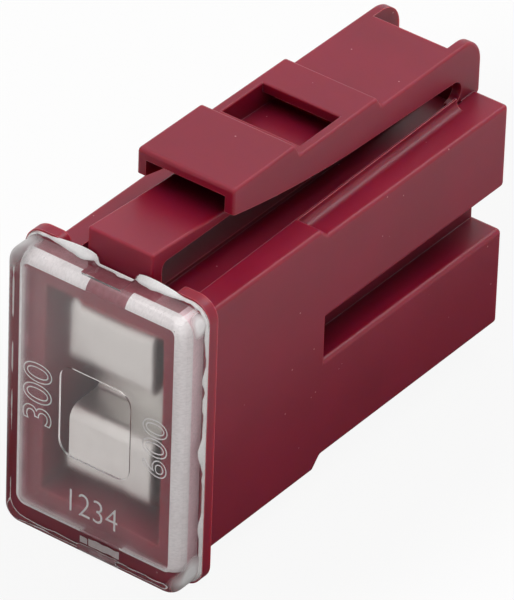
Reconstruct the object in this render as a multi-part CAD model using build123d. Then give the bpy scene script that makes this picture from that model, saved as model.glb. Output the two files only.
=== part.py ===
from build123d import *
import os

# Automotive cartridge fuse: a moulded housing with a latch lever, a clear window cap and a
# one-piece stamped element that carries two female blade terminals.
# +X is the width, +Y runs from the window to the terminals, +Z is up with the latch on top.
# The shape is drawn with Y = 0 on the rear face of the flange and Z = 0 under the flange,
# and each piece is then moved so that the origin is the bottom centre of the whole fuse.
# All sizes are in millimetres.

# ---------------------------------------------------------------- housing block
body_width = 10.7
body_height = 15.9
body_length = 27.4
body_edge = 0.22
rear_edge = 0.3
groove_edge = 0.15
shoulder_start = 10.3
shoulder_run = 0.65
shoulder_round = 0.25
top_drop = 0.6
bottom_rise = 0.7
groove_height = 2.8
groove_depth = 1.95
groove_level = 8.45
chamber_wall = 1.25
mouth_rise = 0.65

# ---------------------------------------------------------------- flange
flange_width = 12.4
flange_height = 18.6
flange_thickness = 0.7
flange_corner = 1.25
notch_width = 7.4
notch_corner = 0.5
spigot_height = 0.7
spigot_clearance = 0.08

# ---------------------------------------------------------------- window cap
cap_width = 12.1
cap_height = 18.1
cap_depth = 2.0
cap_wall = 0.7
cap_bottom_wall = 1.25
cap_corner = 1.1
cap_front_round = 0.65
cavity_corner = 0.62
cavity_round = 0.45
rim_thickness = 0.4
rim_step = 0.12
clip_width = 2.6
clip_depth = 0.35
lens_width = 4.8
lens_height = 5.8
lens_corner = 0.9
lens_depth = 0.08
lens_drop = 0.15

# ---------------------------------------------------------------- latch channel in the body
channel_mouth = 7.5
mouth_length = 2.2
channel_end_width = 6.45
channel_depth = 0.95
rail_width = 2.5
rail_height = 0.25
lip_width = 0.12
lip_foot = 0.45

# ---------------------------------------------------------------- latch lever, heights above the body
lever_width = 6.5
lever_back_width = 6.2
lever_wall = 0.6
lever_front = 5.05
pad_length = 5.5
pad_height = 4.45
bridge_length = 7.0
bridge_height = 3.65
plate_setback = 2.1
plate_height = 2.95
step_run = 0.45
step_round = 0.25
lever_overhang = 0.4
lever_edge = 0.18
ear_round = 1.7
skirt_front_height = 2.85
skirt_height = 1.28
skirt_bend = 16.8
slot_round = 0.75
slot_level = 0.15
slot_setback = 1.4
hole_start = 11.7
hole_length = 3.6
hole_edge = 0.12

# ---------------------------------------------------------------- arm between flange and lever
arm_width = 4.35
leg_thickness = 0.85
leg_setback = 0.15
arm_bend = 0.45
arm_edge = 0.15
arm_front_height = 2.78
arm_middle_height = 2.35
arm_end_height = 2.05
arm_underside = 1.82
arm_middle = 6.0
arm_end = 16.5
arm_plate = 0.5
arm_join = 9.3

# ---------------------------------------------------------------- element and terminals
strip_width = 5.7
strip_thickness = 0.45
strip_bend = 0.5
strip_setback = 0.1
block_height = 4.15
upper_block_bottom = 11.15
lower_block_top = 8.1
recess_depth = 2.45
neck_width = 4.2
neck_length = 1.0
terminal_width = 7.0
terminal_height = 2.7
terminal_length = 9.4
terminal_taper = 1.2
roll_bend = 0.75
roll_corner = 0.45
roll_reach = 2.3
roll_drop = 0.75
terminal_clearance = 0.15
end_wall = 1.0
blade_thickness = 0.8
blade_slot_width = 7.0
blade_slot_height = 1.3
blade_lead_in = 0.35

# ---------------------------------------------------------------- places worked out from the sizes
overlap = 0.2
near = 0.02
body_bottom = (flange_height - body_height) / 2
body_top = body_bottom + body_height
rear_top = body_top - top_drop
rear_bottom = body_bottom + bottom_rise
shoulder_end = shoulder_start + shoulder_run
groove_center = body_bottom + groove_level
channel_floor = body_top - channel_depth
cap_inner_top = (flange_height + cap_height) / 2 - cap_wall
cavity_width = cap_width - 2 * cap_wall
cavity_height = cap_height - cap_wall - cap_bottom_wall
cavity_shift = Pos(0, 0, (cap_bottom_wall - cap_wall) / 2)
lever_back = body_length + lever_overhang
slot_end = body_length - slot_setback
lip_end = slot_end - slot_round
plate_end = body_length - plate_setback
front_y = -flange_thickness - cap_depth
upper_strip_top = upper_block_bottom + block_height
lower_strip_bottom = lower_block_top - block_height
chamber_top = upper_strip_top + terminal_clearance
chamber_bottom = body_bottom + chamber_wall
chamber_end = shoulder_start - chamber_wall / 2
chamber_front = -flange_thickness - spigot_height
chamber_width = body_width - 2 * chamber_wall
terminal_end = body_length - end_wall - terminal_clearance
terminal_start = terminal_end - terminal_length
frame_shift = Pos(0, -(front_y + lever_back) / 2, 0)


def across(outline, width):
    """Extrude a side outline, drawn as (Y, Z), to a width centred on X = 0."""
    return extrude(make_face(outline), amount=width / 2, both=True)


def block(x0, x1, y0, y1, z0, z1):
    """Box between two corners."""
    center = Pos((x0 + x1) / 2, (y0 + y1) / 2, (z0 + z1) / 2)
    return center * Box(x1 - x0, y1 - y0, z1 - z0)


def front_plate(width, height, corner, y, thickness):
    """Rounded plate that faces the window side, with its rear face at y."""
    sketch = Plane.XZ * Pos(0, flange_height / 2) * RectangleRounded(width, height, corner)
    return Pos(0, y, 0) * extrude(sketch, amount=thickness)


def front_rounded(plate, radius):
    """The same plate with the edges of its front face rounded."""
    return fillet(plate.faces().sort_by(Axis.Y)[0].edges(), radius)


def body_block():
    """Outer block with its shoulders, softened edges and the two side grooves."""
    outline = Plane.YZ * FilletPolyline(
        (0, body_bottom),
        (shoulder_start, body_bottom),
        (shoulder_end, rear_bottom),
        (body_length, rear_bottom),
        (body_length, rear_top),
        (shoulder_end, rear_top),
        (shoulder_start, body_top),
        (0, body_top),
        close=False,
        radius=shoulder_round,
    )
    closing = Plane.YZ * Line((0, body_top), (0, body_bottom))
    solid = extrude(make_face([outline, closing]), amount=body_width / 2, both=True)
    side_edges = solid.edges().filter_by(
        lambda e: abs(abs(e.center().X) - body_width / 2) < near and e.center().Y > near
    )
    solid = fillet(side_edges, body_edge)
    for side in (-1, 1):
        inner = side * (body_width / 2 - groove_depth)
        outer = side * body_width
        solid -= block(
            min(inner, outer), max(inner, outer),
            shoulder_end, body_length + overlap,
            groove_center - groove_height / 2, groove_center + groove_height / 2,
        )
    rear_edges = solid.edges().filter_by(lambda e: abs(e.center().Y - body_length) < near)
    solid = fillet(rear_edges, rear_edge)
    groove_edges = solid.edges().filter_by(
        lambda e: abs(abs(e.center().X) - body_width / 2) < near
        and e.center().Y > shoulder_end - near
        and abs(e.center().Z - groove_center) < groove_height / 2 + near
    )
    return fillet(groove_edges, groove_edge)


def flange():
    """Front plate, notched at the top for the latch leg."""
    plate = front_plate(flange_width, flange_height, flange_corner, 0, flange_thickness)
    cut = block(
        -notch_width / 2, notch_width / 2,
        -flange_thickness - overlap, overlap,
        cap_inner_top, flange_height + overlap,
    )
    plate -= cut
    ear_edges = plate.edges().filter_by(Axis.Y).filter_by(
        lambda e: abs(abs(e.center().X) - notch_width / 2) < near
        and e.center().Z > flange_height - near
    )
    return fillet(ear_edges, notch_corner)


def spigot():
    """Raised step on the front of the flange that the cap fits over."""
    gap = 2 * spigot_clearance
    return cavity_shift * front_plate(
        cavity_width - gap, cavity_height - gap,
        cavity_corner - spigot_clearance, -flange_thickness, spigot_height,
    )


def channel_cut():
    """Shallow channel along the top of the body, straight at its mouth and then tapered."""
    plan = Polyline(
        (-channel_mouth / 2, 0),
        (-channel_mouth / 2, mouth_length),
        (-channel_end_width / 2, slot_end),
        (channel_end_width / 2, slot_end),
        (channel_mouth / 2, mouth_length),
        (channel_mouth / 2, 0),
        close=True,
    )
    return Pos(0, 0, channel_floor) * extrude(make_face(plan), amount=channel_depth + overlap)


def channel_half_width(y):
    """Half the width of the channel's tapered part at a place along it."""
    share = (y - mouth_length) / (slot_end - mouth_length)
    return (channel_mouth + (channel_end_width - channel_mouth) * share) / 2


def channel_lip():
    """Thin lip with a hollow foot that carries the channel's right edge past the shoulder."""
    start = channel_half_width(shoulder_start)
    run = Vector(channel_half_width(lip_end) - start, lip_end - shoulder_start, 0)
    outer = start + lip_width
    foot_top = (outer, rear_top + lip_foot)
    foot_end = (outer + lip_foot, rear_top)
    lines = [
        Polyline(
            foot_end, (foot_end[0], channel_floor), (start, channel_floor),
            (start, body_top), (outer, body_top), foot_top,
        ),
        TangentArc(foot_top, foot_end, tangent=(0, -1)),
    ]
    profile = make_face([Plane.XZ * line for line in lines])
    lip = extrude(profile, amount=run.length, dir=run)
    return Pos(0, shoulder_start, 0) * lip


def channel_rails():
    """Low rail on the channel's floor, and the two lips."""
    rail = block(
        -rail_width / 2, rail_width / 2,
        0, slot_end,
        channel_floor - overlap, channel_floor + rail_height,
    )
    right = channel_lip()
    return rail + right + mirror(right, about=Plane.YZ)


def lever_line(drop):
    """Corners of the lever's stepped top, pad, bridge and rear plate, lowered by a drop."""
    pad_end = lever_front + pad_length
    bridge_end = pad_end + step_run + bridge_length
    top = body_top - drop
    return [
        (lever_front, top + pad_height),
        (pad_end, top + pad_height),
        (pad_end + step_run, top + bridge_height),
        (bridge_end, top + bridge_height),
        (bridge_end + step_run, top + plate_height),
    ]


def lever_plan(inset):
    """Column over the lever's plan, a little narrower at the rear, drawn in by an inset."""
    front = lever_width / 2 - inset
    back = lever_back_width / 2 - inset
    plan = Polyline(
        (-front, lever_front),
        (front, lever_front),
        (back, lever_back),
        (-back, lever_back),
        close=True,
    )
    return extrude(make_face(plan), amount=body_top + pad_height + overlap)


def lever_skirts():
    """The two side walls of the lever, which run down into the body behind the slot."""
    slot_center = body_top + slot_level
    slot_top = (lip_end, slot_center + slot_round)
    slot_bottom = (lip_end, slot_center - slot_round)
    bend = (skirt_bend, body_top + skirt_height)
    slope = Vector(bend) - Vector(slot_top)
    ear_top = body_top + plate_height
    skirt_front = (lever_front, body_top + skirt_front_height)
    top_line = [skirt_front, *lever_line(0), (lever_back - ear_round, ear_top)]
    lines = [
        FilletPolyline(*top_line, radius=step_round),
        TangentArc(
            (lever_back - ear_round, ear_top),
            (lever_back, ear_top - ear_round),
            tangent=(1, 0),
        ),
        Polyline(
            (lever_back, ear_top - ear_round),
            (lever_back, rear_top),
            (body_length, rear_top - lever_overhang),
            (body_length, channel_floor - overlap),
            (lip_end, channel_floor - overlap),
            slot_bottom,
        ),
        ThreePointArc(slot_bottom, (slot_end, slot_center), slot_top),
        Line(slot_top, bend),
        TangentArc(bend, skirt_front, tangent=slope),
    ]
    outline = [Plane.YZ * line for line in lines]
    solid = extrude(make_face(outline), amount=lever_width / 2, both=True)
    return solid & (lever_plan(0) - lever_plan(lever_wall))


def lever_plate():
    """Stepped top plate between the skirts, with the catch hole."""
    rear = (plate_end, body_top + plate_height)
    rear_under = (plate_end, rear[1] - lever_wall)
    under = lever_line(lever_wall)
    top = FilletPolyline(under[0], *lever_line(0), rear, radius=step_round)
    bottom = Polyline(rear, rear_under, *reversed(under))
    plate = across([Plane.YZ * top, Plane.YZ * bottom], lever_width)
    hole = block(
        -lever_width, lever_width,
        hole_start, hole_start + hole_length,
        body_top, body_top + pad_height,
    )
    return (plate & lever_plan(0)) - (hole & lever_plan(lever_wall))


def lever_half_width(y):
    """Half the lever's width at a place along it."""
    share = (y - lever_front) / (lever_back - lever_front)
    return (lever_width + (lever_back_width - lever_width) * share) / 2


def lever_root():
    """Bar across the rear of the channel that the lever bends from."""
    root = block(
        -lever_width, lever_width,
        slot_end, body_length,
        channel_floor - overlap, body_top + slot_level,
    )
    return root & lever_plan(0)


def lever():
    """Skirts, plate and root in one, with the top edges and the catch hole softened."""
    solid = lever_skirts() + lever_plate() + lever_root()
    edge_level = body_top + plate_height - ear_round / 2
    top_edges = solid.edges().filter_by(
        lambda e: abs(abs(e.center().X) - lever_half_width(e.center().Y)) < near
        and e.center().Z > edge_level
    )
    solid = fillet(top_edges, lever_edge)
    hole_edges = solid.edges().filter_by(
        lambda e: hole_start - near < e.center().Y < hole_start + hole_length + near
        and abs(e.center().X) < lever_half_width(e.center().Y) - lever_wall + near
        and e.center().Z > body_top + bridge_height - near
    )
    return fillet(hole_edges, hole_edge)


def arm():
    """Leg that rises from the flange, bends rearward and runs inside the lever."""
    leg_front = leg_setback - flange_thickness
    leg_back = leg_front + leg_thickness
    under = body_top + arm_underside
    outline = Plane.YZ * Polyline(
        (leg_front, cap_inner_top - overlap),
        (leg_front, body_top + arm_front_height),
        (arm_middle, body_top + arm_middle_height),
        (arm_end, body_top + arm_end_height),
        (arm_end, body_top + arm_end_height - arm_plate),
        (arm_middle, under),
        (leg_back, under),
        (leg_back, cap_inner_top),
        (0, cap_inner_top),
        (0, cap_inner_top - overlap),
        close=True,
    )
    solid = across(outline, arm_width)
    inner_corner = solid.edges().filter_by(Axis.X).filter_by(
        lambda e: abs(e.center().Y - leg_back) < near and abs(e.center().Z - under) < near
    )
    solid = fillet(inner_corner, arm_bend)
    side_edges = solid.edges().filter_by(
        lambda e: abs(abs(e.center().X) - arm_width / 2) < near
        and (e.center().Z > under + near or abs(e.center().Y - leg_front) < near)
    )
    crest = solid.edges().filter_by(Axis.X).sort_by(Axis.Z)[-1]
    solid = fillet([*side_edges, crest], arm_edge)
    joined = block(-lever_width, lever_width, arm_join, arm_end, body_top, body_top + pad_height)
    return solid + (across(outline, lever_width) & joined & lever_plan(lever_wall / 2))


def chamber_cut():
    """Room behind the window, two terminal tunnels and the blade slots in the rear wall."""
    cut = block(
        -chamber_width / 2, chamber_width / 2,
        chamber_front - overlap, chamber_end,
        chamber_bottom, chamber_top,
    )
    cut += block(
        -chamber_width / 2, chamber_width / 2,
        chamber_front - overlap, -flange_thickness,
        chamber_bottom, chamber_top + mouth_rise,
    )
    tunnel = terminal_width / 2 + terminal_clearance
    height = terminal_height + 2 * terminal_clearance
    for base, way in ((upper_strip_top, -1), (lower_strip_bottom, 1)):
        z0 = base - way * terminal_clearance
        z1 = z0 + way * height
        cut += block(
            -tunnel, tunnel,
            chamber_end - overlap, body_length - end_wall,
            min(z0, z1), max(z0, z1),
        )
        cut += blade_slot(base + way * (strip_thickness + blade_thickness / 2))
    return cut


def blade_slot(level):
    """Slot with a flared mouth through the rear wall, centred on a blade at this level."""
    slot = block(
        -blade_slot_width / 2, blade_slot_width / 2,
        body_length - end_wall - overlap, body_length + overlap,
        level - blade_slot_height / 2, level + blade_slot_height / 2,
    )
    inner = Plane.XZ.offset(-(body_length - blade_lead_in)) * Pos(0, level)
    outer = Plane.XZ.offset(-body_length) * Pos(0, level)
    flare = 2 * blade_lead_in
    mouth = loft([
        inner * Rectangle(blade_slot_width, blade_slot_height),
        outer * Rectangle(blade_slot_width + flare, blade_slot_height + flare),
    ])
    return slot + mouth


def housing():
    """The whole red moulding: block, flange, spigot, channel, latch lever, arm and chambers."""
    solid = body_block() - channel_cut()
    solid += channel_rails()
    solid += flange() + spigot()
    solid -= chamber_cut()
    return solid + lever() + arm()


def window_cap():
    """Clear cover with a rim against the flange, clip recesses and a lens outline."""
    rear = -flange_thickness
    shell = front_plate(cap_width, cap_height, cap_corner, rear, cap_depth)
    shell = front_rounded(shell, cap_front_round)
    rim = 2 * rim_step
    shell += front_plate(cap_width + rim, cap_height + rim, cap_corner + rim_step, rear, rim_thickness)
    cavity = front_plate(
        cavity_width, cavity_height, cavity_corner, rear, cap_depth - cap_wall
    )
    shell -= cavity_shift * front_rounded(cavity, cavity_round)
    for side in (-1, 1):
        edge = flange_height / 2 + side * cap_height / 2
        inner = edge - side * clip_depth
        outer = edge + side * cap_wall
        shell -= block(
            -clip_width / 2, clip_width / 2,
            rear - cap_depth, rear + overlap,
            min(inner, outer), max(inner, outer),
        )
    inside = front_y + cap_wall
    lens = front_plate(lens_width, lens_height, lens_corner, inside + overlap, lens_depth + overlap)
    return shell - Pos(0, 0, -lens_drop) * lens


def strip():
    """Folded fusible strip: two front blocks with the narrowed neck set back between them."""
    half = strip_thickness / 2
    front = -flange_thickness + strip_setback + half
    upper = upper_strip_top - half
    lower = lower_strip_bottom + half
    fold_up = upper_block_bottom + half
    fold_down = lower_block_top - half
    neck = front + recess_depth
    path = Plane.YZ * FilletPolyline(
        (terminal_start, upper),
        (front, upper),
        (front, fold_up),
        (neck, fold_up),
        (neck, fold_down),
        (front, fold_down),
        (front, lower),
        (terminal_start, lower),
        radius=strip_bend,
    )
    start = Plane(origin=(0, terminal_start, upper), x_dir=(1, 0, 0), z_dir=(0, -1, 0))
    solid = sweep(start * Rectangle(strip_width, strip_thickness), path=path)
    middle = (upper_block_bottom + lower_block_top) / 2
    for side in (-1, 1):
        inner = side * neck_width / 2
        outer = side * strip_width
        solid -= block(
            min(inner, outer), max(inner, outer),
            neck - strip_thickness, neck + strip_thickness,
            middle - neck_length / 2, middle + neck_length / 2,
        )
    return solid


def terminal(base, way):
    """Female blade terminal with rolled wings; way is +1 if the wings rise from the base."""
    half = strip_thickness / 2
    edge = terminal_width / 2 - half
    crown = base + way * (terminal_height - half)
    seat = base + way * half
    tip = (edge - roll_reach, crown - way * roll_drop)
    wing = FilletPolyline(
        (0, seat), (edge, seat), (edge, crown), (edge - roll_bend, crown), tip,
        radius=roll_corner,
    )
    path = Plane.XZ.offset(-(terminal_start + terminal_length / 2)) * wing
    start = Plane(
        origin=(0, terminal_start + terminal_length / 2, seat), x_dir=(0, 1, 0), z_dir=(1, 0, 0)
    )
    right = sweep(start * Rectangle(terminal_length, strip_thickness), path=path)
    taper = Polyline(
        (-strip_width / 2, terminal_start - terminal_taper),
        (-terminal_width / 2 + half, terminal_start),
        (terminal_width / 2 - half, terminal_start),
        (strip_width / 2, terminal_start - terminal_taper),
        close=True,
    )
    bridge = Pos(0, 0, seat - half) * extrude(make_face(taper), amount=strip_thickness)
    return right + mirror(right, about=Plane.YZ) + bridge


def fuse_element():
    """Strip and both terminals, stamped and folded from one sheet."""
    return strip() + terminal(upper_strip_top, -1) + terminal(lower_strip_bottom, 1)


def export_pieces():
    """Write one STEP file for each piece."""
    os.makedirs("parts", exist_ok=True)
    pieces = {
        "housing": housing(),
        "window_cap": window_cap(),
        "fuse_element": fuse_element(),
    }
    for name, piece in pieces.items():
        export_step(frame_shift * piece, os.path.join("parts", name + ".step"))


export_pieces()
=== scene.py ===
# %% [markdown]
# # Automotive cartridge fuse
# A plug-in fuse in three pieces: a dark red moulded housing with a latch lever on its back, a clear
# window cap welded on its front, and a folded metal strip inside that melts when the current is too
# high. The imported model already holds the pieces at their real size. This script gives every surface
# its finish, and rebuilds the clear cap, because clear plastic shows every facet of its edges.

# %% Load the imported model
import math
import bmesh
import bpy
from mathutils import Matrix, Vector, noise


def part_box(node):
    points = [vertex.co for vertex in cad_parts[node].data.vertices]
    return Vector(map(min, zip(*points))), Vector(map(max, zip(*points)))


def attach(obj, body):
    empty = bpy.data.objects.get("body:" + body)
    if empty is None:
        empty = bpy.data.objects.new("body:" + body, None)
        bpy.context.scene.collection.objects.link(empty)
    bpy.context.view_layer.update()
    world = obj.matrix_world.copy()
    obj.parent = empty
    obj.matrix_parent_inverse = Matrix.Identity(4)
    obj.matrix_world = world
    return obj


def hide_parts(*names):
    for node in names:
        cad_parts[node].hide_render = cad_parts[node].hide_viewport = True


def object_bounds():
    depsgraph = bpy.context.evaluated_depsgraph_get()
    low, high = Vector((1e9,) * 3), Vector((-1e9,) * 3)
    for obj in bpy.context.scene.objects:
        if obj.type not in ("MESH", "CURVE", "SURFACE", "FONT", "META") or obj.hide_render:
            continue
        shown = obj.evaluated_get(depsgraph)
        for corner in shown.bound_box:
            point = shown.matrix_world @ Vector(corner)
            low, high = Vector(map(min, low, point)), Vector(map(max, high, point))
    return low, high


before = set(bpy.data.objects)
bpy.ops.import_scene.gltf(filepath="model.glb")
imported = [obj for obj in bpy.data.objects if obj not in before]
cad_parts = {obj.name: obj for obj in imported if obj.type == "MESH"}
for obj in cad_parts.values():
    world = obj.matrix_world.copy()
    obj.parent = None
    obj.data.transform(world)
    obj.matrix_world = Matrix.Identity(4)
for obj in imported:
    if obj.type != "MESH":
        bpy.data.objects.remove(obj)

cad_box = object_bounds()
mm = 0.001
print("model box in mm:", [[round(v / mm, 2) for v in corner] for corner in cad_box])

# %% [markdown]
# ## Small helpers
# Colours are written as web hex values, which are sRGB, while shaders work in linear light, so one
# function turns one into the other. Another adds a shader node with its settings and links in one call,
# which keeps each material short enough to read as a recipe.

# %% Helpers for colours and nodes
def linear(hex_code):
    """An sRGB hex colour as opaque linear RGBA."""
    channels = [int(hex_code[i:i + 2], 16) / 255 for i in (1, 3, 5)]
    curve = [c / 12.92 if c <= 0.04045 else ((c + 0.055) / 1.055) ** 2.4 for c in channels]
    return (*curve, 1.0)


def add(tree, kind, inputs=None, **settings):
    """Add a shader node. An input is given a plain value, or another node's socket to link to."""
    node = tree.nodes.new("ShaderNode" + kind)
    for name, value in settings.items():
        setattr(node, name, value)
    for name, value in (inputs or {}).items():
        if isinstance(value, bpy.types.NodeSocket):
            tree.links.new(value, node.inputs[name])
        else:
            node.inputs[name].default_value = value
    return node


def new_material(name):
    """An empty node material, with its tree and output."""
    material = bpy.data.materials.new(name)
    material.use_nodes = True
    material.node_tree.nodes.clear()
    output = add(material.node_tree, "OutputMaterial")
    return material, material.node_tree, output


print("dark red in linear light:", [round(c, 3) for c in linear("#7a1c2a")])

# %% [markdown]
# ## Camera
# The fuse is small, so it is viewed with a very long lens from half a metre away: parallel edges stay
# almost parallel. The camera stands to the front right and above, and is rolled by two degrees. It is
# built from three perpendicular directions, which says more than a set of rotation angles.

# %% Camera from the front right
view_azimuth = math.radians(36.03)
view_elevation = math.radians(34.99)
view_roll = math.radians(2.05)
camera_place = Vector((219.22, -302.03, 270.35)) * mm
lens_per_frame_width = 16.239

right = Vector((math.cos(view_azimuth), math.sin(view_azimuth), 0))
back = Vector((
    math.sin(view_azimuth) * math.cos(view_elevation),
    -math.cos(view_azimuth) * math.cos(view_elevation),
    math.sin(view_elevation),
))
up = back.cross(right)
rolled_right = right * math.cos(view_roll) + up * math.sin(view_roll)
rolled_up = back.cross(rolled_right)

camera_data = bpy.data.cameras.new("camera")
camera_data.sensor_fit = "HORIZONTAL"
camera_data.sensor_width = 36
camera_data.lens = 36 * lens_per_frame_width
camera_data.clip_start = 0.01
camera = bpy.data.objects.new("camera", camera_data)
turn = Matrix((rolled_right, rolled_up, back)).transposed().to_4x4()
camera.matrix_world = Matrix.Translation(camera_place) @ turn
bpy.context.scene.collection.objects.link(camera)
bpy.context.scene.camera = camera
print("camera distance in mm:", round(camera_place.length / mm, 1))

# %% [markdown]
# ## Floor and light tent
# The fuse stands on a white table inside a light tent. Cloth all round gives soft light, and a large
# round panel straight above does most of the lighting, while the white table throws its light back at
# the sides. A small panel high behind the fuse draws thin highlights along its upper edges.
# All of it can be a world shader: the direction of a ray says which part of the tent it meets.
#
# Close round the fuse the table is painted darker, a painted shadow, so the lower walls stay deep red.
# The painted shadow reaches further to the front and rear than to the sides. The camera sees a clean
# white background, and clear plastic shows it too. Gloss sees the same white tent, but only a little of
# the table's white, or each glossy side would turn pale, and in gloss the painted shadow is darker
# still.
# The table keeps a part of its own shading, for a soft shadow.

# %% Table and light tent
table_size = 2.4
paper_far = "#f0efee"
paper_in_painted_shadow = "#989694"
paper_far_in_gloss = "#f6f5f4"
gloss_paper_in_painted_shadow = "#6c6a69"
painted_shadow_reach = (4 * mm, 15 * mm)
front_stretch = 0.35
white_share_for_camera = 0.92
white_share_for_gloss = 0.05
hidden_after_matt = 0.4
tent_heights = [(0.0, "#6c6c6c"), (0.3, "#808080"), (0.7, "#6c6c6e"), (1.0, "#606062")]
# Each panel has a direction, a radius in degrees and a strength.
panels = [
    ((0.1, -0.1, 0.99), 35, 1.75),
    ((0.2, 0.66, 0.72), 12, 4.0),
]
panel_rim = (4, 2)


def less_after_matt(tree, path, share):
    """Hide part of the white from light that a matt surface has already spread.

    Without this, what lies behind the clear cap would be lit by the backdrop as well.
    """
    spread = add(tree, "Math", {0: path.outputs["Diffuse Depth"], 1: 1.0}, operation="MINIMUM")
    kept = add(tree, "Math", {
        0: spread.outputs[0], 1: -hidden_after_matt, 2: 1.0,
    }, operation="MULTIPLY_ADD")
    return add(tree, "Math", {0: share, 1: kept.outputs[0]}, operation="MULTIPLY").outputs[0]


def table():
    """Large pale sheet, almost white to the camera and to gloss, with a painted shadow close round the
    fuse.
    """
    material, tree, output = new_material("matt_white_paper")
    path = add(tree, "LightPath")
    place = add(tree, "TexCoord").outputs["Object"]
    span = add(tree, "VectorMath", {0: place}, operation="ABSOLUTE")
    past = add(tree, "VectorMath", {
        0: span.outputs["Vector"], 1: (cad_box[1][0], cad_box[1][1], 1),
    }, operation="SUBTRACT")
    past = add(tree, "VectorMath", {0: past.outputs["Vector"], 1: (0, 0, 0)}, operation="MAXIMUM")
    past = add(tree, "VectorMath", {
        0: past.outputs["Vector"], 1: (1, front_stretch, 1),
    }, operation="MULTIPLY")
    distance = add(tree, "VectorMath", {0: past.outputs["Vector"]}, operation="LENGTH")
    # Painted shadow: close round the fuse the paper is darker, and darker still where gloss sees it.
    away = add(tree, "MapRange", {
        "Value": distance.outputs["Value"], "From Min": painted_shadow_reach[0], "From Max": painted_shadow_reach[1],
    }, interpolation_type="SMOOTHSTEP")
    matt = add(tree, "MixRGB", {
        "Fac": away.outputs["Result"], "Color1": linear(paper_in_painted_shadow), "Color2": linear(paper_far),
    })
    mirrored = add(tree, "MixRGB", {
        "Fac": away.outputs["Result"],
        "Color1": linear(gloss_paper_in_painted_shadow), "Color2": linear(paper_far_in_gloss),
    })
    paper_color = add(tree, "MixRGB", {
        "Fac": path.outputs["Is Glossy Ray"],
        "Color1": matt.outputs["Color"], "Color2": mirrored.outputs["Color"],
    })
    paper = add(tree, "BsdfDiffuse", {"Color": paper_color.outputs["Color"]})
    glow = add(tree, "Emission", {"Color": (1, 1, 1, 1), "Strength": 1.0})
    seen = add(tree, "Math", {
        0: path.outputs["Is Camera Ray"], 1: path.outputs["Is Transmission Ray"],
    }, operation="MAXIMUM")
    seen = less_after_matt(tree, path, seen.outputs[0])
    clear = add(tree, "Math", {0: seen, 1: white_share_for_camera}, operation="MULTIPLY")
    gloss = add(tree, "Math", {
        0: path.outputs["Is Glossy Ray"], 1: white_share_for_gloss,
    }, operation="MULTIPLY")
    share = add(tree, "Math", {0: clear.outputs[0], 1: gloss.outputs[0]}, operation="MAXIMUM")
    mix = add(tree, "MixShader", {0: share.outputs[0], 1: paper.outputs[0], 2: glow.outputs[0]})
    tree.links.new(mix.outputs[0], output.inputs["Surface"])
    bm = bmesh.new()
    bmesh.ops.create_grid(bm, x_segments=1, y_segments=1, size=table_size / 2)
    mesh = bpy.data.meshes.new("table")
    bm.to_mesh(mesh)
    bm.free()
    mesh.materials.append(material)
    sheet = bpy.data.objects.new("table", mesh)
    bpy.context.scene.collection.objects.link(sheet)


def light_tent():
    """Cloth that is brightest a little above the table, with two bright round panels."""
    world = bpy.data.worlds.new("light_tent")
    world.use_nodes = True
    tree = world.node_tree
    tree.nodes.clear()
    direction = add(tree, "TexCoord").outputs["Generated"]
    height = add(tree, "SeparateXYZ", {"Vector": direction}).outputs["Z"]
    cloth = add(tree, "ValToRGB", {"Fac": height})
    stops = cloth.color_ramp.elements
    for position, _ in tent_heights[1:-1]:
        stops.new(position)
    for stop, (position, color) in zip(stops, tent_heights):
        stop.position = position
        stop.color = linear(color)
    soft = add(tree, "Background", {"Color": cloth.outputs["Color"], "Strength": 1.0})
    white = add(tree, "Background", {"Color": (1, 1, 1, 1), "Strength": 1.0})
    path = add(tree, "LightPath")
    seen = add(tree, "Math", {
        0: path.outputs["Is Camera Ray"], 1: path.outputs["Is Glossy Ray"],
    }, operation="MAXIMUM")
    seen = add(tree, "Math", {
        0: seen.outputs[0], 1: path.outputs["Is Transmission Ray"],
    }, operation="MAXIMUM")
    seen = less_after_matt(tree, path, seen.outputs[0])
    tent = add(tree, "MixShader", {0: seen, 1: soft.outputs[0], 2: white.outputs[0]})
    hidden = add(tree, "Math", {0: 1.0, 1: path.outputs["Is Camera Ray"]}, operation="SUBTRACT")
    light = tent.outputs[0]
    for toward, radius, strength in panels:
        facing = add(tree, "VectorMath", {0: direction, 1: toward}, operation="DOT_PRODUCT")
        inside = add(tree, "MapRange", {
            "Value": facing.outputs["Value"],
            "From Min": math.cos(math.radians(radius + panel_rim[0])),
            "From Max": math.cos(math.radians(radius - panel_rim[1])),
            "To Max": strength,
        }, interpolation_type="SMOOTHSTEP")
        level = add(tree, "Math", {
            0: inside.outputs["Result"], 1: hidden.outputs[0],
        }, operation="MULTIPLY")
        panel = add(tree, "Background", {"Color": (1, 1, 1, 1), "Strength": level.outputs[0]})
        light = add(tree, "AddShader", {0: light, 1: panel.outputs[0]}).outputs[0]
    add(tree, "OutputWorld", {"Surface": light})
    bpy.context.scene.world = world


table()
light_tent()
bpy.context.scene.view_settings.view_transform = "Standard"
tent_levels = [(height, round(linear(color)[0], 2)) for height, color in tent_heights]
print("tent brightness by height:", tent_levels)
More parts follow.
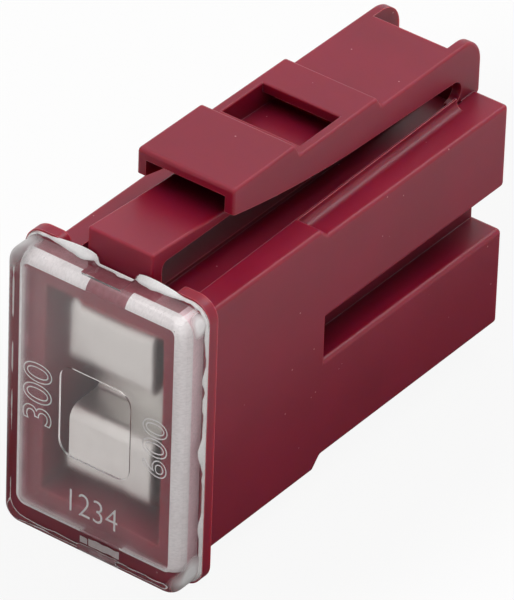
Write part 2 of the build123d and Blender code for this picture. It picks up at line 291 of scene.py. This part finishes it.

# %% [markdown]
# ## Dark red housing plastic
# Housings like this are injection moulded in PBT, a tough polyester, dyed a deep red. Light enters it
# and comes out again a little further on, so thin walls glow: that is subsurface scattering, with red
# travelling much further than green or blue. The mould is spark eroded, which leaves a satin grain.
# The real grain is about 0.03 mm wide, too fine to show on the whole fuse, so it is drawn three times
# as wide.
#
# Sharp edges get a painted highlight: where a normal rounded by the Bevel node differs from the real
# one, there is an edge, and it is painted a paler tone in place of the light it would catch. A few pale
# specks of dust are dots of a Voronoi pattern. Hollows get painted shade: there most light has already
# met red walls, which leaves a darker and purer red, so the colour is multiplied by how much open sky
# each point sees within a few millimetres.

# %% Housing material
dye_reds = ("#8b0c2e", "#960f34")
painted_highlight_red = "#d88088"
dusty_red = "#e0a8a8"
dye_cloud_width = 5 * mm
edge_radius = 0.07 * mm
grain_width = 0.09 * mm
grain_depth = 0.02 * mm
dust_spacing = 1.3 * mm
dust_radius = 0.05 * mm
painted_shade_reach = 3 * mm
painted_shade_tone = 0.4
glow_scale = 0.6 * mm
glow_by_channel = (2.2, 0.14, 0.12)


def moulded_red_pbt():
    """Injection moulded PBT: a deep translucent red with a satin skin, painted highlights on its edges,
    painted shade in its hollows, and dust.
    """
    material, tree, output = new_material("moulded_red_pbt")
    place = add(tree, "TexCoord").outputs["Object"]
    cloud = add(tree, "TexNoise", {"Vector": place, "Scale": 1 / dye_cloud_width, "Detail": 4.0})
    tint = add(tree, "ValToRGB", {"Fac": cloud.outputs["Fac"]})
    for stop, position, color in zip(tint.color_ramp.elements, (0.3, 0.7), dye_reds):
        stop.position = position
        stop.color = linear(color)
    soft_edges = add(tree, "Bevel", {"Radius": edge_radius}, samples=6)
    true_normal = add(tree, "NewGeometry").outputs["Normal"]
    agree = add(tree, "VectorMath", {
        0: soft_edges.outputs["Normal"], 1: true_normal,
    }, operation="DOT_PRODUCT")
    # Painted highlight: sharp edges are mixed towards a pale red, in place of the light they would
    # catch.
    edge = add(tree, "MapRange", {
        "Value": agree.outputs["Value"], "From Min": 0.99, "From Max": 0.88, "To Max": 0.8,
    })
    painted_highlight_color = add(tree, "MixRGB", {
        "Fac": edge.outputs["Result"],
        "Color1": tint.outputs["Color"], "Color2": linear(painted_highlight_red),
    })
    dots = add(tree, "TexVoronoi", {"Vector": place, "Scale": 1 / dust_spacing})
    size = dust_radius / dust_spacing
    dust = add(tree, "MapRange", {
        "Value": dots.outputs["Distance"],
        "From Min": size * 1.2, "From Max": size * 0.8, "To Max": 0.7,
    })
    skin_color = add(tree, "MixRGB", {
        "Fac": dust.outputs["Result"],
        "Color1": painted_highlight_color.outputs["Color"], "Color2": linear(dusty_red),
    })
    # Painted shade: the colour is darkened where little open sky is seen within a few millimetres, as
    # in hollows and under the lever.
    open_sky = add(tree, "AmbientOcclusion", {"Distance": painted_shade_reach}, samples=8, only_local=True)
    depth = add(tree, "MapRange", {
        "Value": open_sky.outputs["AO"], "From Min": 0.25, "From Max": 0.85, "To Min": painted_shade_tone,
    })
    painted_shade_color = add(tree, "VectorMath", {
        0: skin_color.outputs["Color"], 1: depth.outputs["Result"],
    }, operation="MULTIPLY")
    satin = add(tree, "MapRange", {"Value": cloud.outputs["Fac"], "To Min": 0.34, "To Max": 0.42})
    grain = add(tree, "TexNoise", {"Vector": place, "Scale": 1 / grain_width, "Detail": 2.0})
    bump = add(tree, "Bump", {
        "Height": grain.outputs["Fac"], "Strength": 0.15, "Distance": grain_depth,
        "Normal": soft_edges.outputs["Normal"],
    })
    skin = add(tree, "BsdfPrincipled", {
        "Base Color": painted_shade_color.outputs["Vector"],
        "Roughness": satin.outputs["Result"],
        "IOR": 1.55,
        "Specular IOR Level": 0.35,
        "Subsurface Weight": 0.8,
        "Subsurface Radius": glow_by_channel,
        "Subsurface Scale": glow_scale,
        "Normal": bump.outputs["Normal"],
    })
    tree.links.new(skin.outputs[0], output.inputs["Surface"])
    return material


def dress(node, material):
    """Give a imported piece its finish."""
    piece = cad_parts[node]
    piece.data.materials.clear()
    piece.data.materials.append(material)
    print(node, "wears", material.name)


dress("housing", moulded_red_pbt())

# %% [markdown]
# ## Tin plated strip
# The strip is a copper alloy with a thin coat of tin. Tin is dipped or plated on and dulls at once, so
# it is a rough pale grey metal with faint clouds, and it mirrors nothing sharply. The crystals of real
# tin are far finer than 0.1 mm, so the grit stands for small groups of them.

# %% Strip material
tin_tones = ("#e1e0dc", "#f5f5f1")
tin_cloud_width = 1.2 * mm
tin_grit_width = 0.1 * mm
tin_grit_depth = 0.01 * mm


def tin_plated_strip():
    """Dull tin plating: metal with a rough, slightly clouded surface."""
    material, tree, output = new_material("tin_plated_strip")
    place = add(tree, "TexCoord").outputs["Object"]
    cloud = add(tree, "TexNoise", {"Vector": place, "Scale": 1 / tin_cloud_width, "Detail": 4.0})
    tone = add(tree, "ValToRGB", {"Fac": cloud.outputs["Fac"]})
    for stop, color in zip(tone.color_ramp.elements, tin_tones):
        stop.color = linear(color)
    haze = add(tree, "MapRange", {"Value": cloud.outputs["Fac"], "To Min": 0.35, "To Max": 0.45})
    grit = add(tree, "TexNoise", {"Vector": place, "Scale": 1 / tin_grit_width, "Detail": 2.0})
    bump = add(tree, "Bump", {
        "Height": grit.outputs["Fac"], "Strength": 0.2, "Distance": tin_grit_depth,
    })
    metal = add(tree, "BsdfPrincipled", {
        "Base Color": tone.outputs["Color"],
        "Metallic": 1.0,
        "Roughness": haze.outputs["Result"],
        "Normal": bump.outputs["Normal"],
    })
    tree.links.new(metal.outputs[0], output.inputs["Surface"])
    return material


dress("fuse_element", tin_plated_strip())

# %% [markdown]
# ## Clear window cap
# The cap is moulded in polycarbonate, clear as glass and bending light a little more. Five finishes
# meet on it:
# - polished outside, and in a window in the middle of the inner front;
# - dull on the rest of the inner front;
# - frosted white along the inner corners, from a spark eroded core;
# - half frosted inside the right wall, so some red shows through;
# - tinted walls that lie close to the red moulding and take its colour.
#
# Each finish is a material, and the faces of one mesh share them out. Three outer corners are cloudy.
# Shadow rays pass through every finish, because light that had to find its way by refraction alone
# would leave the inside dark. The grit of an eroded core is finer than 0.05 mm, too fine to show, so
# it is drawn at 0.1 mm.

# %% Cap materials
polycarbonate_ior = 1.58
clear_wave_width = 1.5 * mm
clear_wave_depth = 0.01 * mm
clear_dust_spacing = 1.7 * mm
clear_dust_white = "#f0ecec"
dull_grit_width = 0.12 * mm
dull_grit_depth = 0.006 * mm
frost_cloud_width = 0.9 * mm
frost_grit_width = 0.1 * mm
frost_grit_depth = 0.02 * mm
# Each cloudy corner has a middle, a reach and a colour.
cloudy_corners = [
    (Vector((6.05, -14.2, 1.4)) * mm, 1.0 * mm, "#ffffff"),
    (Vector((-5.9, -14.6, 18.2)) * mm, 1.2 * mm, "#c4c0c0"),
    (Vector((6.0, -13.8, 17.6)) * mm, 0.6 * mm, "#f4f0f0"),
]


def let_light_through(tree, output, surface, tint):
    """Send a surface to the output, with shadows that pass through it, tinted."""
    passing = add(tree, "BsdfTransparent", {"Color": linear(tint)})
    path = add(tree, "LightPath")
    mix = add(tree, "MixShader", {0: path.outputs["Is Shadow Ray"], 1: surface, 2: passing.outputs[0]})
    tree.links.new(mix.outputs[0], output.inputs["Surface"])


def clear_polycarbonate(name, roughness, grit_depth=0.0, cloudy_places=()):
    """Clear polycarbonate: the faint waves of a moulded face, ground grit, dust and cloudy corners."""
    material, tree, output = new_material(name)
    place = add(tree, "TexCoord").outputs["Object"]
    wave = add(tree, "TexNoise", {"Vector": place, "Scale": 1 / clear_wave_width, "Detail": 2.0})
    bump = add(tree, "Bump", {
        "Height": wave.outputs["Fac"], "Strength": 0.3, "Distance": clear_wave_depth,
    })
    if grit_depth:
        grit = add(tree, "TexNoise", {"Vector": place, "Scale": 1 / dull_grit_width, "Detail": 2.0})
        bump = add(tree, "Bump", {
            "Height": grit.outputs["Fac"], "Strength": 0.5, "Distance": grit_depth,
            "Normal": bump.outputs["Normal"],
        })
    glass = add(tree, "BsdfPrincipled", {
        "Base Color": linear("#fbf8f8"),
        "Roughness": roughness,
        "IOR": polycarbonate_ior,
        "Transmission Weight": 1.0,
        "Normal": bump.outputs["Normal"],
    })
    dots = add(tree, "TexVoronoi", {"Vector": place, "Scale": 1 / clear_dust_spacing})
    speck = add(tree, "MapRange", {
        "Value": dots.outputs["Distance"], "From Min": 0.03, "From Max": 0.02, "To Max": 0.7,
    })
    dust = add(tree, "BsdfPrincipled", {"Base Color": linear(clear_dust_white), "Roughness": 0.5})
    surface = add(tree, "MixShader", {
        0: speck.outputs["Result"], 1: glass.outputs[0], 2: dust.outputs[0],
    }).outputs[0]
    for center, reach, color in cloudy_places:
        distance = add(tree, "VectorMath", {0: place, 1: center}, operation="DISTANCE")
        ragged = add(tree, "Math", {
            0: wave.outputs["Fac"], 1: reach * 0.8, 2: distance.outputs["Value"],
        }, operation="MULTIPLY_ADD")
        cloud = add(tree, "MapRange", {
            "Value": ragged.outputs[0],
            "From Min": reach * 1.7, "From Max": reach * 0.9, "To Max": 0.95,
        })
        haze = add(tree, "BsdfPrincipled", {
            "Base Color": linear(color), "Roughness": 0.35, "IOR": polycarbonate_ior,
        })
        surface = add(tree, "MixShader", {
            0: cloud.outputs["Result"], 1: surface, 2: haze.outputs[0],
        }).outputs[0]
    let_light_through(tree, output, surface, "#f4f0f0")
    return material


def frosted_polycarbonate(name, color, clearness, grit_tone=0.85):
    """Rough polycarbonate: it scatters white light, and lets some colour through."""
    material, tree, output = new_material(name)
    place = add(tree, "TexCoord").outputs["Object"]
    cloud = add(tree, "TexNoise", {"Vector": place, "Scale": 1 / frost_cloud_width, "Detail": 3.0})
    grit = add(tree, "TexNoise", {"Vector": place, "Scale": 1 / frost_grit_width, "Detail": 3.0})
    clear = add(tree, "MapRange", {
        "Value": cloud.outputs["Fac"], "From Min": 0.35, "From Max": 0.65,
        "To Min": clearness * 0.4, "To Max": clearness * 1.6,
    })
    tone = add(tree, "ValToRGB", {"Fac": grit.outputs["Fac"]})
    for stop, position, shade in zip(tone.color_ramp.elements, (0.35, 0.6), (grit_tone, 1.0)):
        stop.position = position
        stop.color = (*(c * shade for c in linear(color)[:3]), 1)
    bump = add(tree, "Bump", {
        "Height": grit.outputs["Fac"], "Strength": 0.5, "Distance": frost_grit_depth,
    })
    glass = add(tree, "BsdfPrincipled", {
        "Base Color": tone.outputs["Color"],
        "Roughness": 0.45,
        "IOR": polycarbonate_ior,
        "Transmission Weight": clear.outputs["Result"],
        "Normal": bump.outputs["Normal"],
    })
    let_light_through(tree, output, glass.outputs[0], "#f0eeee")
    return material


polished = clear_polycarbonate("polycarbonate_polished", 0.03, cloudy_places=cloudy_corners)
dull = clear_polycarbonate("polycarbonate_dull", 0.26, dull_grit_depth)
frosted = frosted_polycarbonate("polycarbonate_frosted", "#f6f4f4", 0.1, 0.88)
half_frosted = frosted_polycarbonate("polycarbonate_half_frosted", "#f4d8de", 0.25)
red_backed = frosted_polycarbonate("polycarbonate_over_red", "#984a58", 0.45)
cap_finishes = [polished, dull, frosted, half_frosted, red_backed]
print("finishes:", *[finish.name for finish in cap_finishes])

# %% [markdown]
# ## Shape of the cap
# The cap is a shallow tray with its open side on the flange. Two rounded blocks make it: the outer
# one and the hollow. Both are cubes whose upright edges, and then whose front edges, are bevelled, with
# their rear faces taken away. The outer one steps out to a rim, and both are bridged along their
# rear edges. The rear reaches a hair into the flange: plastic pressed flat on plastic shows its colour,
# while a thin gap would turn dark.
#
# The hollow is frosted only near its front, with a clear gap in the middle of its upper and lower
# edges. A clip recess lies across the middle of the same edges: the shell is cut by planes, and what
# lies between them is pressed inwards, with a short ramp behind the rounded front.

# %% Cap shape
near_zero = 0.01 * mm
cap_low, cap_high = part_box("window_cap")
rim_step = 0.12 * mm
rim_thickness = 0.08 * mm
cap_wall = 0.7 * mm
cap_bottom_wall = 1.25 * mm
corner_segments = 12
rounding_segments = 8
cap_corner = 1.1 * mm
front_round = 0.65 * mm
hollow_corner = 0.62 * mm
hollow_round = 0.32 * mm
frost_depth = 0.42 * mm
frost_gap = (-0.85 * mm, 1.8 * mm)
clip_half_width = 1.3 * mm
clip_depth = 0.35 * mm
lower_clip_depth = 0.08 * mm
clip_setback = 0.4 * mm
clip_ramp = 0.35 * mm
clip_wall = 0.02 * mm
window_size = Vector((4.8, 0, 5.8)) * mm
window_corner = 0.9 * mm
window_depth = 0.15 * mm
window_drop = 0.15 * mm
contact = 0.08 * mm
polished_face, dull_face, frosted_face, half_frosted_face, red_backed_face = range(5)

tray_low = cap_low + Vector((rim_step, 0, rim_step))
tray_high = cap_high - Vector((rim_step, rim_thickness, rim_step))
hollow_low = tray_low + Vector((cap_wall, cap_wall, cap_bottom_wall))
hollow_high = Vector((tray_high.x - cap_wall, cap_high.y + contact, tray_high.z - cap_wall))
frost_rear = hollow_low.y + frost_depth
clip_front = tray_low.y + clip_setback
window_center = Vector((0, hollow_low.y, (cap_low.z + cap_high.z) / 2 - window_drop))


def tray(low, high, corner, rounding=0, segments=corner_segments):
    """Block with rounded uprights, open at the rear, with a rounding round its front if wanted."""
    bm = bmesh.new()
    bmesh.ops.create_cube(bm, size=1)
    bmesh.ops.scale(bm, vec=high - low, verts=bm.verts)
    bmesh.ops.translate(bm, vec=(low + high) / 2, verts=bm.verts)
    uprights = [e for e in bm.edges if abs((e.verts[0].co - e.verts[1].co).normalized().y) > 0.9]
    bmesh.ops.bevel(
        bm, geom=uprights, offset=corner, segments=segments, profile=0.5,
        affect="EDGES", material=-1,
    )
    if rounding:
        front = min(bm.faces, key=lambda f: f.calc_center_median().y)
        bmesh.ops.bevel(
            bm, geom=list(front.edges), offset=rounding, segments=rounding_segments, profile=0.5,
            affect="EDGES", material=-1,
        )
    rear = max(bm.faces, key=lambda f: f.calc_center_median().y)
    bmesh.ops.delete(bm, geom=[rear], context="FACES_ONLY")
    return bm


def merge_in(bm, other, material_index):
    """Move another bmesh into this one, with its own material number, and return its faces."""
    for face in other.faces:
        face.material_index = material_index
    spare = bpy.data.meshes.new("spare")
    other.to_mesh(spare)
    other.free()
    count = len(bm.faces)
    bm.from_mesh(spare)
    bpy.data.meshes.remove(spare)
    bm.faces.ensure_lookup_table()
    return bm.faces[count:]


def open_loop(bm, y):
    """Open edges that lie in the plane at y."""
    boundary = [e for e in bm.edges if e.is_boundary]
    return [e for e in boundary if all(abs(v.co.y - y) < near_zero for v in e.verts)]


def add_rim(bm):
    """Step the open rear outwards, and carry it on to the flange."""
    middle = (tray_low + tray_high) / 2
    grow = Vector((
        (cap_high.x - cap_low.x) / (tray_high.x - tray_low.x), 1,
        (cap_high.z - cap_low.z) / (tray_high.z - tray_low.z),
    ))
    step = bmesh.ops.extrude_edge_only(bm, edges=open_loop(bm, tray_high.y))["geom"]
    verts = [v for v in step if isinstance(v, bmesh.types.BMVert)]
    bmesh.ops.scale(bm, vec=grow, verts=verts, space=Matrix.Translation(-middle))
    step_edges = [e for e in step if isinstance(e, bmesh.types.BMEdge)]
    sides = bmesh.ops.extrude_edge_only(bm, edges=step_edges)["geom"]
    verts = [v for v in sides if isinstance(v, bmesh.types.BMVert)]
    bmesh.ops.translate(bm, vec=(0, rim_thickness + contact, 0), verts=verts)


def cut(bm, place, normal):
    """Cut every face along a plane, and keep both sides."""
    everything = list(bm.verts) + list(bm.edges) + list(bm.faces)
    bmesh.ops.bisect_plane(bm, geom=everything, plane_co=place, plane_no=normal, dist=1e-7)


def press_clip_recesses(bm):
    """Cut the shell beside each recess, and press what lies between inwards."""
    outer = clip_half_width + clip_wall
    for x in (-outer, -clip_half_width, clip_half_width, outer):
        cut(bm, (x, 0, 0), (1, 0, 0))
    for y in (clip_front, clip_front + clip_ramp):
        cut(bm, (0, y, 0), (0, 1, 0))
    floor, ceiling = tray_low.z + lower_clip_depth, tray_high.z - clip_depth
    for vert in bm.verts:
        between = abs(vert.co.x) < clip_half_width + clip_wall / 2
        if between and vert.co.y > clip_front + clip_ramp / 2:
            vert.co.z = min(max(vert.co.z, floor), ceiling)


def add_hollow(bm):
    """Add the hollow, and share out its finishes by where each face lies."""
    hollow = tray(hollow_low, hollow_high, hollow_corner, hollow_round)
    bmesh.ops.reverse_faces(hollow, faces=hollow.faces)
    cut(hollow, (0, frost_rear, 0), (0, 1, 0))
    for x in frost_gap:
        cut(hollow, (x, 0, 0), (1, 0, 0))
    for face in merge_in(bm, hollow, frosted_face):
        middle = face.calc_center_median()
        if middle.y > frost_rear:
            on_right = middle.x > hollow_high.x - hollow_corner
            face.material_index = half_frosted_face if on_right else red_backed_face
        elif frost_gap[0] < middle.x < frost_gap[1]:
            face.material_index = red_backed_face


def add_window(bm):
    """Replace the hollow's front by a dull ring round a sunken polished window."""
    front = [f for f in bm.faces if abs(f.calc_center_median().y - hollow_low.y) < near_zero]
    bmesh.ops.delete(bm, geom=front, context="FACES")
    low = window_center - window_size / 2 - Vector((0, window_depth, 0))
    high = window_center + window_size / 2
    window = tray(low, high, window_corner)
    bmesh.ops.reverse_faces(window, faces=window.faces)
    for face in merge_in(bm, window, polished_face):
        normal = face.normal
        if abs(normal.y) < 0.5 and normal.x - normal.z > 0.3:
            face.material_index = frosted_face
    ring = bmesh.ops.triangle_fill(bm, edges=open_loop(bm, hollow_low.y), use_beauty=True)["geom"]
    for face in ring:
        if isinstance(face, bmesh.types.BMFace):
            face.material_index = dull_face


def cap_shell():
    """The cap, as one closed shell that shares out five finishes."""
    bm = tray(tray_low, tray_high, cap_corner, front_round)
    add_rim(bm)
    add_hollow(bm)
    bmesh.ops.bridge_loops(bm, edges=open_loop(bm, cap_high.y + contact))
    add_window(bm)
    press_clip_recesses(bm)
    for face in bm.faces:
        middle = face.calc_center_median()
        if abs(middle.x) < clip_half_width and middle.z < tray_low.z + lower_clip_depth * 1.1:
            face.material_index = red_backed_face
    bmesh.ops.recalc_face_normals(bm, faces=bm.faces)
    print("open edges left in the cap:", sum(e.is_boundary for e in bm.edges))
    return bm


def mesh_object(bm, name, *materials, sharp_angle=35):
    """Turn a finished bmesh into a piece that rides on the fuse."""
    mesh = bpy.data.meshes.new(name)
    bm.to_mesh(mesh)
    bm.free()
    for material in materials:
        mesh.materials.append(material)
    mesh.shade_smooth()
    mesh.set_sharp_from_angle(angle=math.radians(sharp_angle))
    piece = bpy.data.objects.new(name, mesh)
    bpy.context.scene.collection.objects.link(piece)
    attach(piece, "root")
    print(name, len(mesh.polygons), "faces")
    return piece


cap = mesh_object(cap_shell(), "clear_cap", *cap_finishes)
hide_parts("window_cap")

# %% [markdown]
# ## Weld flash
# The cap is welded to the flange, and some melted plastic is squeezed out and sets as a wavy white seam
# round the joint. A ribbon is laid round the cap's wall: a bevelled block without its front and
# rear, cut into short lengths. Smooth noise then decides how far each length has flowed. Two long
# swellings lie on the top, one each side of the clip recess, and a few drops on the right side.
# Two thin patches of melt close the joint in the lower recess.

# %% Weld flash
flash_start = 0.1 * mm
flash_overlap = 0.02 * mm
flash_lengths = 44
flash_height = 0.11 * mm
flash_edge_height = 0.03 * mm
flash_thickness = 0.06 * mm
mean_reach, least_reach, flow_reach = 0.12 * mm, 0.05 * mm, 0.2 * mm
long_wave, short_wave = 1.1 * mm, 0.4 * mm
swell_length, swell_reach, swell_height = 3.1 * mm, 0.35 * mm, 0.25 * mm
drop_reach = 0.3 * mm
# Each drop has a height above the table and a half length, in millimetres.
side_drops = [(13.9, 0.7), (9.1, 1.3), (4.2, 0.8)]
# Each patch has a lowest and highest x, and a lowest and highest z, in millimetres.
melt_patches = [(-1.3, -0.8, 0.41, 0.81), (-0.72, 1.36, 0.42, 0.9)]
patch_thickness = 0.03 * mm
patch_wave, patch_waviness = 0.5 * mm, 0.07 * mm


def top_swell(place):
    """Share of the two long swellings on the top, one each side of the clip recess."""
    share = (abs(place.x) - clip_half_width) / swell_length
    on_top = place.z > tray_high.z - near_zero and 0 < share < 1
    return math.sin(math.pi * share ** 0.6) ** 0.8 if on_top else 0


def side_swell(place):
    """Share of the drops on the right side, which are thickest in their middle."""
    if place.x < tray_high.x - near_zero:
        return 0
    return max(0, *(1 - ((place.z / mm - height) / half) ** 2 for height, half in side_drops))


def seam_reach(place):
    """How far the melt has flowed forwards, more on the top than on the sides."""
    flow = noise.noise(place / long_wave) + 0.5 * noise.noise(place / short_wave)
    wavy = max(least_reach, mean_reach + flow_reach * flow)
    return wavy + swell_reach * top_swell(place) + drop_reach * side_swell(place)


def melted_patch(low_x, high_x, low_z, high_z):
    """Thin melted patch in the joint, with a wavy outline."""
    bm = bmesh.new()
    bmesh.ops.create_grid(bm, x_segments=16, y_segments=4, size=0.5)
    upright = Matrix.Rotation(math.radians(90), 3, "X")
    bmesh.ops.rotate(bm, cent=(0, 0, 0), matrix=upright, verts=bm.verts)
    size = Vector(((high_x - low_x) * mm, 1, (high_z - low_z) * mm))
    bmesh.ops.scale(bm, vec=size, verts=bm.verts)
    middle = Vector(((low_x + high_x) / 2, 0, (low_z + high_z) / 2)) * mm
    middle.y = cap_high.y - patch_thickness
    bmesh.ops.translate(bm, vec=middle, verts=bm.verts)
    for vert in bm.verts:
        vert.co.z += patch_waviness * noise.noise(vert.co / patch_wave)
    bmesh.ops.solidify(bm, geom=list(bm.faces), thickness=patch_thickness)
    return bm


def flash_ribbon():
    """Straight ribbon round the cap's wall, cut into short lengths and open at its front and rear."""
    bm = tray(
        Vector((tray_low.x, cap_high.y - flash_start, tray_low.z)),
        Vector((tray_high.x, cap_high.y + flash_overlap, tray_high.z)),
        cap_corner, segments=8,
    )
    front = min(bm.faces, key=lambda f: f.calc_center_median().y)
    bmesh.ops.delete(bm, geom=[front], context="FACES_ONLY")
    along = [e for e in bm.edges if abs((e.verts[0].co - e.verts[1].co).y) < near_zero]
    long_edges = [e for e in along if e.calc_length() > 1 * mm]
    bmesh.ops.subdivide_edges(bm, edges=long_edges, cuts=flash_lengths, use_grid_fill=True)
    across = [e for e in bm.edges if abs((e.verts[0].co - e.verts[1].co).y) > flash_start / 2]
    bmesh.ops.subdivide_edges(bm, edges=across, cuts=2, use_grid_fill=True)
    bm.normal_update()
    return bm


def weld_flash():
    """Wavy seam of melted plastic round the joint of cap and flange."""
    bm = flash_ribbon()
    moves = []
    for vert in bm.verts:
        share = (cap_high.y + flash_overlap - vert.co.y) / (flash_start + flash_overlap)
        flat = Vector((vert.co.x, 0, vert.co.z))
        height = flash_height * (1 - share ** 2) + flash_edge_height * share
        height += swell_height * top_swell(flat) * (1 - share)
        move = vert.normal * height
        in_recess = abs(vert.co.x) < clip_half_width
        if in_recess and abs(vert.co.z - tray_high.z) < near_zero:
            move.z -= clip_depth
        if in_recess and abs(vert.co.z - tray_low.z) < near_zero:
            move.z += lower_clip_depth
        move.y = -(seam_reach(flat) - flash_start) * share
        moves.append((vert, move))
    for vert, move in moves:
        vert.co += move
    bmesh.ops.solidify(bm, geom=list(bm.faces), thickness=flash_thickness)
    for patch in melt_patches:
        merge_in(bm, melted_patch(*patch), 0)
    bmesh.ops.recalc_face_normals(bm, faces=bm.faces)
    return bm


flash_white = frosted_polycarbonate("polycarbonate_weld_flash", "#fbf9f8", 0.05, 0.94)
flash = mesh_object(weld_flash(), "weld_flash", flash_white, sharp_angle=60)

# %% [markdown]
# ## Numerals
# Small numbers stand on the inside of the cap's front, engraved in the mould. A text curve without a
# fill and with a thin round bevel gives exactly the raised outline of each numeral. It is made a mesh
# before it is turned and moved to its place, and the numbers mean nothing here.

# %% Numerals inside the cap
rating_stroke = 0.038
lower_stroke = 0.05
lower_thinning = -0.035
# Each number has a name, its text, a lowest and highest x, a lowest and highest z in millimetres,
# and says whether it runs up the cap.
side_numbers = [
    ("left_number", "300", -4.88, -2.98, 7.45, 11.28, True),
    ("right_number", "600", 3.2, 4.8, 7.58, 11.18, True),
]
lower_number = ("lower_number", "1234", -1.56, 1.62, 2.66, 4.1, False)
ridge_white = frosted_polycarbonate("polycarbonate_ridge", "#ffffff", 0.1, 0.9)


def outlined_text(name, text, length, tall, stroke, thinning):
    """Outline of a text as a flat mesh of round ridges, stretched to a length and a height."""
    data = bpy.data.curves.new(name, "FONT")
    data.body = text
    data.fill_mode = "NONE"
    data.offset = thinning
    data.resolution_u = 6
    data.bevel_resolution = 1
    data.bevel_depth = 0.0001
    lettering = bpy.data.objects.new(name, data)
    bpy.context.scene.collection.objects.link(lettering)
    bpy.context.view_layer.update()
    corners = [Vector(corner) for corner in lettering.bound_box]
    size = [max(c[i] for c in corners) - min(c[i] for c in corners) for i in (0, 1)]
    stretch = Vector((length / size[0], tall / size[1], 1))
    data.bevel_depth = stroke / stretch.y
    evaluated = lettering.evaluated_get(bpy.context.evaluated_depsgraph_get())
    mesh = bpy.data.meshes.new_from_object(evaluated)
    bpy.data.objects.remove(lettering)
    bpy.data.curves.remove(data)
    bm = bmesh.new()
    bm.from_mesh(mesh)
    bpy.data.meshes.remove(mesh)
    bmesh.ops.remove_doubles(bm, verts=bm.verts, dist=1e-5)
    bmesh.ops.scale(bm, vec=stretch * mm, verts=bm.verts)
    return bm


def raised_number(name, text, low_x, high_x, low_z, high_z, turned, stroke, thinning=0.0):
    """Numerals as thin rounded ridges that fill a rectangle on the inner face, in millimetres."""
    width, height = high_x - low_x, high_z - low_z
    length, tall = (height, width) if turned else (width, height)
    bm = outlined_text(name, text, length, tall, stroke, thinning)
    upright = Matrix.Rotation(math.radians(90), 3, "X")
    if turned:
        upright = Matrix.Rotation(math.radians(-90), 3, "Y") @ upright
    bmesh.ops.rotate(bm, cent=(0, 0, 0), matrix=upright, verts=bm.verts)
    spans = [[f(v.co[i] for v in bm.verts) for f in (min, max)] for i in (0, 1, 2)]
    now = Vector([sum(span) / 2 for span in spans])
    goal = Vector(((low_x + high_x) / 2 * mm, hollow_low.y, (low_z + high_z) / 2 * mm))
    bmesh.ops.translate(bm, vec=goal - now, verts=bm.verts)
    bmesh.ops.recalc_face_normals(bm, faces=bm.faces)
    piece = mesh_object(bm, name, ridge_white, sharp_angle=80)


for number in side_numbers:
    raised_number(*number, rating_stroke)
raised_number(*lower_number, lower_stroke, lower_thinning)
